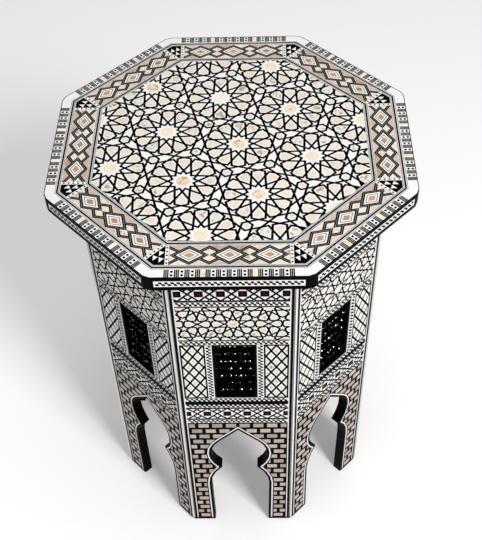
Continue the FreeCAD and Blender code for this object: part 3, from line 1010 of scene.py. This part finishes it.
class TABLE_OT_diamond_bands(bpy.types.Operator):
    """Lay the diamond bands, dotted strips and corner kites of the top"""

    bl_idname = "table.diamond_bands"
    bl_label = "Diamond bands"

    def execute(self, context):
        sizes = context.scene.table_border
        self.diamonds(sizes)
        self.dotted_strips(sizes)
        self.kites(sizes)
        return {"FINISHED"}

    def diamonds(self, sizes):
        """Interlaced diamonds in black strips with a grey line along each."""
        middle = -1j * (BAND_OUT + BAND_IN) / 2
        pitch = 2 * BAND_HALF / sizes.diamonds
        strip = sizes.diamond_line / 2 + sizes.diamond_black
        small_width = sizes.diamond_small * pitch / 2 / sizes.diamond_height
        places = [middle + pitch * (step - sizes.diamonds / 2 + 0.5) for step in range(sizes.diamonds)]
        crossings = [middle + pitch * (step - sizes.diamonds / 2) for step in range(sizes.diamonds + 1)]
        large = [(place, pitch / 2, sizes.diamond_height) for place in places]
        small = [(place + up * sizes.diamond_small, small_width, sizes.diamond_small)
                 for place in crossings for up in (-1j, 1j)]
        halves = [(place.real - pitch / 2, place.real) for place in places]
        halves += [(place.real, place.real + pitch / 2) for place in places]
        ground = sheet("band_ground_shell", [rectangle(*half, *span) for half in halves
                                             for span in ((-BAND_OUT, middle.imag), (middle.imag, -BAND_IN))],
                       on_top(2.5))
        black = [diamond(*shape) for shape in large] + [diamond(*shape, 2 * strip) for shape in small]
        strips = sheet("band_strips", black, on_top(2))
        half_line = sizes.diamond_line / 2
        lines = sheet("band_lines", [diamond(*shape, half_line - strip) for shape in large], on_top(1.5))
        roofs = sheet("band_roofs", [diamond(*shape, half_line + strip) for shape in small], on_top(1.7))
        white = sheet("band_white", [diamond(*shape, -2 * strip) for shape in large], on_top(1))
        shells = sheet("band_shells", [diamond(*shape) for shape in small], on_top(1))
        hollow(lines, sizes.diamond_line)
        hollow(roofs, sizes.diamond_line)
        inner = split_middles(white, "band_inner", sizes.diamond_white)
        saw(inner, sizes.diamond_hair)
        core = split_middles(inner, "band_cores", sizes.diamond_white)
        for piece in (strips, lines, roofs, shells):
            trim(piece, [((-BAND_HALF, 0, 0), (-1, 0, 0)), ((BAND_HALF, 0, 0), (1, 0, 0)),
                         ((0, -BAND_OUT, 0), (0, -1, 0)), ((0, -BAND_IN, 0), (0, 1, 0))])
        lay_round(ground, "rose", "top_diamond_bands", depth=0.5 * LEVEL)
        lay_round(strips, "lacquer", "top_diamond_bands", depth=0.5 * LEVEL)
        lay_round(join(lines, roofs), "pewter", "top_diamond_bands", depth=0.5 * LEVEL)
        lay_round(join(white, inner), "bone", "top_diamond_bands", depth=LEVEL)
        lay_round(core, "amber", "top_diamond_bands", depth=LEVEL)
        lay_round(shells, "pearl", "top_diamond_bands", depth=LEVEL)

    def dotted_strips(self, sizes):
        strips, dots = [], []
        middle = (BAND_HALF + CORNER_HALF) / 2
        spacing = (BAND_OUT - BAND_IN) / sizes.dots
        for side in (-1, 1):
            ends = sorted((side * (BAND_HALF + sizes.dotted_line), side * (CORNER_HALF - sizes.dotted_line)))
            strips.append(rectangle(*ends, -BAND_OUT, -BAND_IN))
            for step in range(sizes.dots):
                place = complex(side * middle, -BAND_OUT + spacing * (step + 0.5))
                dots.append(disc(place, sizes.dot, DOT_CORNERS))
        lay_round(sheet("dotted_strips", strips, on_top(1)), "bone", "top_dotted_strips")
        lay_round(sheet("strip_dots", dots, on_top(0)), "lacquer", "top_dotted_strips", depth=LEVEL)

    def kites(self, sizes):
        """Rows of white triangles that point outward, between the black ones of a kite."""
        apex = complex(CORNER_HALF, -BAND_IN)
        outward = polar(1, CORNER_ANGLE)
        height = (BAND_OUT - BAND_IN) * math.cos(STEP / 2) / sizes.kite_rows
        base = 2 * height * SLOPE
        triangles = []
        for row in range(1, sizes.kite_rows):
            for step in range(row):
                tip = apex + outward * complex(height * (row + 1), base * (step + 0.5 - row / 2))
                triangles.append(anticlockwise([tip, tip - outward * complex(height, base / 2),
                                                tip - outward * complex(height, -base / 2)]))
        piece = sheet("kite_triangles", triangles, on_top(0))
        saw(piece, sizes.kite_line / 2)
        lay_round(piece, "bone", "top_corner_kites", depth=3 * LEVEL)


class TABLE_OT_dashed_strips(bpy.types.Operator):
    """Lay the dashes of the edge, the checked strips and the window strips"""

    bl_idname = "table.dashed_strips"
    bl_label = "Dashed strips"

    def execute(self, context):
        sizes = context.scene.table_sides
        middle = (EDGE_LOW + EDGE_HIGH) / 2
        strip = rectangle(-EDGE_HALF, EDGE_HALF, EDGE_LOW, EDGE_HIGH)
        lay_round(sheet("edge_strips", [strip], on_front(1, EDGE_REACH)), "bone", "top_edge_strips",
                  depth=EDGE_PLATE)
        dashes = [spun(dash, 0, 1j * middle)
                  for dash in dash_rows(sizes, EDGE_HALF, sizes.edge_dash, sizes.edge_pitch)]
        lines = [rectangle(-EDGE_HALF, EDGE_HALF, EDGE_LOW, EDGE_LOW + sizes.edge_line),
                 rectangle(-EDGE_HALF, EDGE_HALF, EDGE_HIGH - sizes.edge_line, EDGE_HIGH)]
        lay_round(sheet("edge_dashes", dashes + lines, on_front(0, EDGE_REACH)), "lacquer",
                  "top_edge_strips", depth=LEVEL)
        dashes, lines = [], []
        for low, high in front_rows("check_strips"):
            dashes += [spun(dash, 0, 1j * (low + high) / 2)
                       for dash in dash_rows(sizes, INLAY_HALF, sizes.dash, sizes.dash_pitch)]
            lines += [rectangle(-INLAY_HALF, INLAY_HALF, low, low + sizes.strip_line),
                      rectangle(-INLAY_HALF, INLAY_HALF, high - sizes.strip_line, high)]
        for low, high in front_rows("black_bands"):
            lines.append(rectangle(-INLAY_HALF, INLAY_HALF, low - sizes.band_edge, high + sizes.band_edge))
        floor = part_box("arch_stringing")[0].z
        inner = min(abs(corner.x) for corner in front_corners("arch_stringing")
                    if corner.z < floor + SAME_PLANE)
        for ends in ((inner, INLAY_HALF), (-INLAY_HALF, -inner)):
            lines.append(rectangle(*ends, floor, floor + sizes.foot))
        upright = dash_rows(sizes, (WINDOW_HIGH - WINDOW_LOW) / 2, sizes.window_dash, sizes.window_pitch)
        for side in (-1, 1):
            place = complex(side * (STRIP_INNER + STRIP_OUTER) / 2, (WINDOW_LOW + WINDOW_HIGH) / 2)
            dashes += [anticlockwise([place + 1j * corner.conjugate() for corner in dash]) for dash in upright]
        lay_round(sheet("side_dashes", dashes + lines, on_front(-1)), "lacquer", depth=2 * LEVEL)
        return {"FINISHED"}


class TABLE_OT_friezes(bpy.types.Operator):
    """Lay the two friezes with red squares"""

    bl_idname = "table.friezes"
    bl_label = "Friezes"

    def execute(self, context):
        sizes = context.scene.table_sides
        for node, pitch in (("upper_friezes", sizes.frieze_upper), ("lower_friezes", sizes.frieze_lower)):
            low, high = front_rows(node)[0]
            half = (high - low) / 2 - sizes.frieze_line / 2
            middle = 1j * (low + high) / 2
            places = [complex(pitch * (step + 0.5)) for step in range(-4, 4)]
            large, small, edge = crossed_diamonds(pitch, half, sizes.frieze_small, places)
            tiles = [spun(outline, 0, middle) for outline in large + small + edge]
            ground = sheet(node + "_ground", [rectangle(-INLAY_HALF, INLAY_HALF, low, high)], on_front(3))
            white = sheet(node + "_white", tiles, on_front(1))
            middles = [place + middle for place in places]
            squares = sheet(node + "_squares", [square(place, sizes.frieze_square) for place in middles],
                            on_front(0.5))
            cores = sheet(node + "_red", [square(place, sizes.frieze_core) for place in middles], on_front(0))
            saw(white, sizes.frieze_line / 2)
            for piece in (white, squares, cores):
                trim_front(piece, -INLAY_HALF, INLAY_HALF, low, high)
                drop_slivers(piece, SMALL_SLIVER)
            lay_round(ground, "lacquer", node)
            lay_round(white, "bone", node, depth=3 * LEVEL)
            lay_round(squares, "lacquer", node, depth=LEVEL)
            lay_round(cores, "red", node, depth=LEVEL)
        return {"FINISHED"}


class TABLE_OT_star_bands(bpy.types.Operator):
    """Lay the star mosaic of the sides"""

    bl_idname = "table.star_bands"
    bl_label = "Star bands"

    def execute(self, context):
        sizes = context.scene.table_mosaic
        half = (STAR_HIGH - STAR_LOW) / 2 - sizes.band_margin
        middle = 1j * (STAR_LOW + STAR_HIGH) / 2
        tiles = [[spun(outline, 0, middle) for outline in group]
                 for group in star_band_tiles(half, sizes.band_disc)]

        def cut(piece):
            trim_front(piece, -INLAY_HALF, INLAY_HALF, middle.imag - half, middle.imag + half)
            drop_slivers(piece, BAND_SLIVER)

        ground = sheet("band_ground", [rectangle(-INLAY_HALF, INLAY_HALF, STAR_LOW, STAR_HIGH)], on_front(3))
        lay_round(ground, "lacquer", "star_bands")
        lay_mosaic("band", tiles, on_front, sizes.band_line, sizes.border, cut, lay_round, "star_bands")
        return {"FINISHED"}


class TABLE_OT_diaper_panels(bpy.types.Operator):
    """Lay the diamond panels on both sides of the windows"""

    bl_idname = "table.diaper_panels"
    bl_label = "Diaper panels"

    def execute(self, context):
        sizes = context.scene.table_mosaic
        width, height = sizes.diaper_width / 2, sizes.diaper_height / 2
        centre_x = (STRIP_OUTER + INLAY_HALF) / 2
        centre_z = (WINDOW_LOW + WINDOW_HIGH) / 2
        whites, pearls, grounds = [], [], []
        for side in (-1, 1):
            left, right = sorted((side * STRIP_OUTER, side * INLAY_HALF))
            diamonds = []
            for column in range(-4, 5):
                for row in range(-7, 8):
                    if (column + row) % 2 == 0:
                        place = complex(side * centre_x + column * width, centre_z + row * height)
                        diamonds.append(diamond(place, width, height))
            white = sheet("diaper_white", diamonds, on_front(1))
            saw(white, sizes.diaper_line / 2)
            pearl = split_middles(white, "diaper_pearl", sizes.diaper_border)
            for piece in (white, pearl):
                trim_front(piece, left + sizes.diaper_margin, right - sizes.diaper_margin,
                           WINDOW_LOW + sizes.diaper_margin, WINDOW_HIGH - sizes.diaper_margin)
                drop_slivers(piece, SMALL_SLIVER)
            whites.append(white)
            pearls.append(pearl)
            grounds.append(rectangle(left, right, WINDOW_LOW, WINDOW_HIGH))
        lay_round(sheet("diaper_ground", grounds, on_front(3)), "lacquer", "diaper_panels")
        lay_round(join(*whites), "bone", "diaper_panels", depth=3 * LEVEL)
        lay_round(join(*pearls), "pearl", "diaper_panels", depth=3 * LEVEL)
        return {"FINISHED"}


class TABLE_OT_bricks(bpy.types.Operator):
    """Lay the bricks round the arches"""

    bl_idname = "table.bricks"
    bl_label = "Bricks"

    def execute(self, context):
        sizes = context.scene.table_sides
        bricks = []
        courses = int((BRICK_HIGH - BRICK_LOW) / sizes.course) + 1
        for course in range(courses):
            high = BRICK_HIGH - course * sizes.course
            shift = 0.5 * (course % 2)
            for step in range(-5, 5):
                left = (step + shift) * sizes.brick
                bricks.append(rectangle(left, left + sizes.brick, high - sizes.course, high))
        piece = sheet("bricks", bricks, on_front(-3))
        saw(piece, sizes.mortar / 2)
        edge = INLAY_HALF - sizes.brick_margin
        trim_front(piece, -edge, edge, BRICK_LOW + sizes.foot, BRICK_HIGH - sizes.brick_margin)
        drop_slivers(piece, BRICK_SLIVER)
        tint(piece)
        thicken(piece, 4 * LEVEL)
        cutter = sheet("arch_cutter", [self.arch(sizes)], on_front(-CUTTER_LEVELS))
        thicken(cutter, 2 * CUTTER_LEVELS * LEVEL)
        choose(piece)
        cut = piece.modifiers.new("Arch", "BOOLEAN")
        cut.operation = "DIFFERENCE"
        cut.object = cutter
        bpy.ops.object.modifier_apply(modifier=cut.name)
        bpy.data.objects.remove(cutter)
        dress(repeat_round(piece), "brick")
        return {"FINISHED"}

    def arch(self, sizes):
        """Outline of the arch with its white line, grown by the margin of the bricks."""
        corners = {complex(round(corner.x, 5), round(corner.z, 5)) for corner in front_corners("brick_fields")
                   if -SAME_PLANE < corner.x < INLAY_HALF - SAME_PLANE}
        line = sorted(corners, key=lambda corner: corner.imag)
        ends = [line[0] - 1j * sizes.course] + line + [-line[-2].conjugate()]
        right = []
        for before, corner, after in zip(ends, line, ends[2:]):
            run = after - before
            right.append(corner - 1j * run / abs(run) * sizes.brick_margin)
        right[0] -= 1j * sizes.course
        right[-1] = 1j * right[-1].imag
        return right + [-corner.conjugate() for corner in reversed(right[:-1])]


class TABLE_OT_corner_strips(bpy.types.Operator):
    """Lay the white, grey and black lines of the corner strips, with painted shade and a painted highlight on
    the corner facets
    """

    bl_idname = "table.corner_strips"
    bl_label = "Corner strips"

    def execute(self, context):
        sizes = context.scene.table_sides
        low, high = (corner.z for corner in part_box("corner_strip_1"))
        facet = max(corner.x for corner in front_corners("corner_strip_1"))
        nodes = ["corner_strip_%d" % (side + 1) for side in range(SIDES)]
        near = complex(facet, -FACE)
        far = near.conjugate() * polar(1, 2 * CORNER_ANGLE)
        width = abs(far - near)
        grey = sizes.facet_grey
        white = INLAY_HALF + sizes.corner_white
        flats = [("bone", INLAY_HALF, white), ("pewter", white, white + sizes.corner_grey),
                 ("lacquer", white + sizes.corner_grey, facet)]
        # The flat facet is painted as if it were rounded: pewter and silver at its edges are painted shade, and
        # the bone down its middle is a painted highlight
        facets = [("pewter", 0, grey), ("silver", grey, 2 * grey), ("bone", 2 * grey, width - 2 * grey),
                  ("silver", width - 2 * grey, width - grey), ("pewter", width - grey, width)]
        pieces = {"bone": [], "lacquer": [], "pewter": [], "silver": []}
        foot = low + sizes.foot
        for finish_name, start, end in flats:
            strips = [rectangle(start, end, foot, high), rectangle(-end, -start, foot, high)]
            pieces[finish_name].append(sheet("corner_flat_" + finish_name, strips, on_front(0)))
        for finish_name, start, end in facets:
            strip = rectangle(start / width, end / width, foot, high)
            pieces[finish_name].append(sheet("corner_facet_" + finish_name, [strip], self.on_facet(near, far)))
        feet = [rectangle(INLAY_HALF, facet, low, foot), rectangle(-facet, -INLAY_HALF, low, foot)]
        end = rectangle(0, 1, low, foot)
        pieces["lacquer"] += [sheet("corner_flat_foot", feet, on_front(0)),
                              sheet("corner_facet_foot", [end], self.on_facet(near, far))]
        for finish_name, strips in pieces.items():
            lay_round(join(*strips), finish_name, *nodes)
        return {"FINISHED"}

    def on_facet(self, near, far):
        """Where a point lies on the facet, its x as a share of the way from edge to edge."""
        def place(point):
            across = near + (far - near) * point.real
            return across.real, across.imag, point.imag
        return place


class TABLE_OT_lattices(bpy.types.Operator):
    """Turn the window lattices"""

    bl_idname = "table.lattices"
    bl_label = "Lattices"

    def execute(self, context):
        sizes = context.scene.table_lattice
        half = STRIP_INNER - sizes.frame
        column_pitch = 2 * half / sizes.columns
        row_pitch = (LATTICE_HIGH - LATTICE_LOW) / sizes.rows
        columns = [column_pitch * (step + 0.5) - half for step in range(sizes.columns)]
        rows = [LATTICE_LOW + row_pitch * (step + 0.5) for step in range(sizes.rows)]
        turnings = []
        for column, x in enumerate(columns):
            profile = [(LATTICE_LOW, 0), (LATTICE_LOW, sizes.neck)]
            for row, z in enumerate(rows):
                profile += self.bead(z, sizes.ball if (column + row) % 2 == 0 else sizes.bead, sizes.neck)
            profile += [(LATTICE_HIGH, sizes.neck), (LATTICE_HIGH, 0)]
            points = [(x + radius, -LATTICE_MIDDLE, z) for z, radius in profile]
            turnings.append(self.turn("upright", points, (x, -LATTICE_MIDDLE, 0), (0, 0, 1), sizes.turns))
        for z in rows:
            profile = [(-half, 0), (-half, sizes.neck)]
            for x in columns[:-1]:
                profile += self.bead(x + column_pitch / 2, sizes.bead * PEG_BEAD, sizes.neck)
            profile += [(half, sizes.neck), (half, 0)]
            points = [(x, -LATTICE_MIDDLE, z + radius) for x, radius in profile]
            turnings.append(self.turn("peg", points, (0, -LATTICE_MIDDLE, z), (1, 0, 0), sizes.turns))
        for number, piece in enumerate(copy_round(join(*turnings), -STEP), 1):
            piece.name = "lattice_%d" % number
            choose(piece)
            bpy.ops.object.shade_smooth_by_angle(angle=SMOOTH_ANGLE)
            dress(piece, "lattice", "window_lattice_%d" % number)
        return {"FINISHED"}

    def bead(self, place, radius, neck):
        """Profile of a ball on a neck, as places along the piece and radii."""
        start = math.asin(neck / radius)
        angles = [start + (math.pi - 2 * start) * step / BEAD_STEPS for step in range(BEAD_STEPS + 1)]
        return [(place - radius * math.cos(angle), radius * math.sin(angle)) for angle in angles]

    def turn(self, name, points, centre, axis, steps):
        mesh = bpy.data.meshes.new(name)
        mesh.from_pydata(points, [(step, step + 1) for step in range(len(points) - 1)], [])
        piece = bpy.data.objects.new(name, mesh)
        bpy.context.scene.collection.objects.link(piece)
        choose(piece)
        bpy.ops.object.mode_set(mode="EDIT")
        bpy.ops.mesh.select_mode(type="VERT")
        bpy.ops.mesh.select_all(action="SELECT")
        bpy.ops.mesh.spin(steps=steps, angle=2 * math.pi, center=centre, axis=axis)
        bpy.ops.mesh.select_all(action="SELECT")
        bpy.ops.mesh.remove_doubles(threshold=MERGE_DISTANCE)
        bpy.ops.mesh.normals_make_consistent(inside=False)
        end_edit()
        return piece


class TABLE_OT_stage(bpy.types.Operator):
    """Set up the floor, the lights and the camera"""

    bl_idname = "table.stage"
    bl_label = "Stage"

    def execute(self, context):
        sizes = context.scene.table_stage
        scene = context.scene
        scene.view_settings.view_transform = "Standard"
        choose(NODES["top_board"])
        bpy.ops.mesh.primitive_plane_add(size=sizes.floor)
        floor = context.active_object
        floor.name = "floor"
        floor.data.materials.append(finish("floor"))
        floor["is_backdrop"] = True
        world = bpy.data.worlds.new("Studio")
        world.use_nodes = True
        light = world.node_tree.nodes["Background"].inputs
        light["Color"].default_value = opaque(WHITE)
        light["Strength"].default_value = sizes.fill
        scene.world = world
        self.lamp("key", sizes.lamp, sizes.lamp_size, sizes.key)
        self.lamp("overhead", (0, 0, sizes.overhead_height), sizes.overhead_size, sizes.overhead)
        bpy.ops.object.camera_add(location=sizes.camera, rotation=sizes.turn)
        camera = context.active_object
        camera.data.lens = sizes.lens
        scene.camera = camera
        return {"FINISHED"}

    def lamp(self, name, place, size, power):
        """Square lamp that points at the middle of the table."""
        bpy.ops.object.light_add(type="AREA", location=place)
        lamp = bpy.context.active_object
        lamp.name = name
        lamp.data.size = size
        lamp.data.energy = power
        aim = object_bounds()
        target = (aim[0] + aim[1]) / 2
        lamp.rotation_euler = (target - lamp.location).to_track_quat("-Z", "Y").to_euler()


PIECES = (TABLE_OT_stage, TABLE_OT_boards, TABLE_OT_star_field, TABLE_OT_stringing, TABLE_OT_rim,
          TABLE_OT_diamond_bands, TABLE_OT_dashed_strips, TABLE_OT_friezes, TABLE_OT_star_bands,
          TABLE_OT_diaper_panels, TABLE_OT_bricks, TABLE_OT_corner_strips, TABLE_OT_lattices)
SETTINGS = {"table_colours": TableColours, "table_mosaic": MosaicSizes, "table_border": BorderSizes,
            "table_sides": SideSizes, "table_lattice": LatticeSizes, "table_stage": StageSizes}


class TABLE_PT_sidebar(bpy.types.Panel):
    """Pieces and settings of the inlaid side table"""

    bl_idname = "TABLE_PT_sidebar"
    bl_label = "Inlaid side table"
    bl_space_type = "VIEW_3D"
    bl_region_type = "UI"
    bl_category = "Table"

    def draw(self, context):
        for piece in PIECES:
            self.layout.operator(piece.bl_idname)
        for name, group in SETTINGS.items():
            box = self.layout.box()
            for setting in group.__annotations__:
                box.prop(getattr(context.scene, name), setting)


CLASSES = tuple(SETTINGS.values()) + PIECES + (TABLE_PT_sidebar,)


def register():
    for entry in CLASSES:
        bpy.utils.register_class(entry)
    for name, group in SETTINGS.items():
        setattr(bpy.types.Scene, name, bpy.props.PointerProperty(type=group))


def unregister():
    for name in SETTINGS:
        delattr(bpy.types.Scene, name)
    for entry in reversed(CLASSES):
        bpy.utils.unregister_class(entry)


def main():
    register()
    bpy.ops.table.stage()
    bpy.ops.table.boards()
    bpy.ops.table.star_field()
    bpy.ops.table.stringing()
    bpy.ops.table.rim()
    bpy.ops.table.diamond_bands()
    bpy.ops.table.dashed_strips()
    bpy.ops.table.friezes()
    bpy.ops.table.star_bands()
    bpy.ops.table.diaper_panels()
    bpy.ops.table.bricks()
    bpy.ops.table.corner_strips()
    bpy.ops.table.lattices()


if __name__ == "__main__":
    main()
